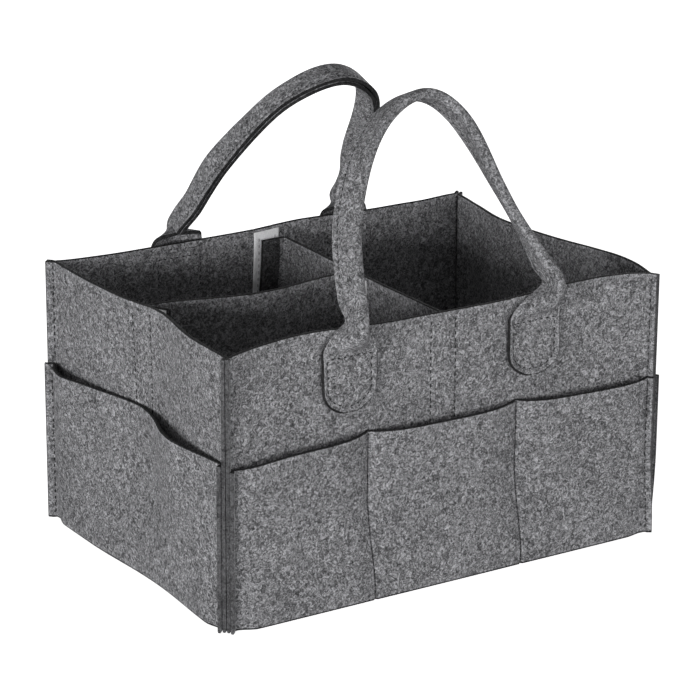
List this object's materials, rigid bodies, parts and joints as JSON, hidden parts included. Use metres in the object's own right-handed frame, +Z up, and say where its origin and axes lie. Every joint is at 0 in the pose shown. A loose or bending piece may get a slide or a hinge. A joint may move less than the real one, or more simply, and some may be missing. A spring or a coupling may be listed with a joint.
{
  "type": "diaper caddy",
  "caption": "Open rectangular grey felt caddy with outside pockets, lift-out dividers on hook-and-loop tape and arched carrying handles.",
  "frame": {"origin": "middle of the base, on the surface that the caddy stands on", "axes": "+X along the caddy towards its undivided half, +Y to the back, +Z up"},
  "size_m": [0.3352, 0.2415, 0.3132],
  "materials": {
    "felt": "matte grey melange needle felt",
    "loop_tape": "brushed pale grey loop tape",
    "hook_tape": "pale grey hook tape"
  },
  "bodies": {
    "basket": {"bottom_panel": "felt", "front_wall": "felt", "back_wall": "felt", "left_wall": "felt", "right_wall": "felt", "front_pocket": "felt", "back_pocket": "felt", "left_pocket": "felt", "right_pocket": "felt", "front_handle_left_tab": "felt", "front_handle_right_tab": "felt", "back_handle_left_tab": "felt", "back_handle_right_tab": "felt", "front_wall_loop_tape": "loop_tape", "back_wall_loop_tape": "loop_tape", "left_wall_loop_tape": "loop_tape"},
    "front_handle": {"front_handle_strap": "felt"},
    "back_handle": {"back_handle_strap": "felt"},
    "cross_divider": {"cross_divider": "felt", "cross_divider_back_hook_tape": "hook_tape", "cross_divider_front_hook_tape": "hook_tape", "cross_divider_loop_tape": "loop_tape"},
    "long_divider": {"long_divider": "felt", "long_divider_left_hook_tape": "hook_tape", "long_divider_right_hook_tape": "hook_tape"}
  },
  "joints": [
    {"name": "front_handle_bend", "type": "hinge", "parent": "basket", "child": "front_handle", "pos_m": [0, -0.11352, 0.187], "axis": [1, 0, 0], "range_deg": [-23, 111], "stiffness_Nm_per_rad": 0.25},
    {"name": "back_handle_bend", "type": "hinge", "parent": "basket", "child": "back_handle", "pos_m": [0, 0.11517, 0.195], "axis": [-1, 0, 0], "range_deg": [-6, 128], "stiffness_Nm_per_rad": 0.25},
    {"name": "cross_divider_lift", "type": "slide", "parent": "basket", "child": "cross_divider", "axis": [0, 0, 1], "range_m": [0, 0.09]},
    {"name": "long_divider_lift", "type": "slide", "parent": "basket", "child": "long_divider", "axis": [0, 0, 1], "range_m": [0, 0.09]}
  ]
}
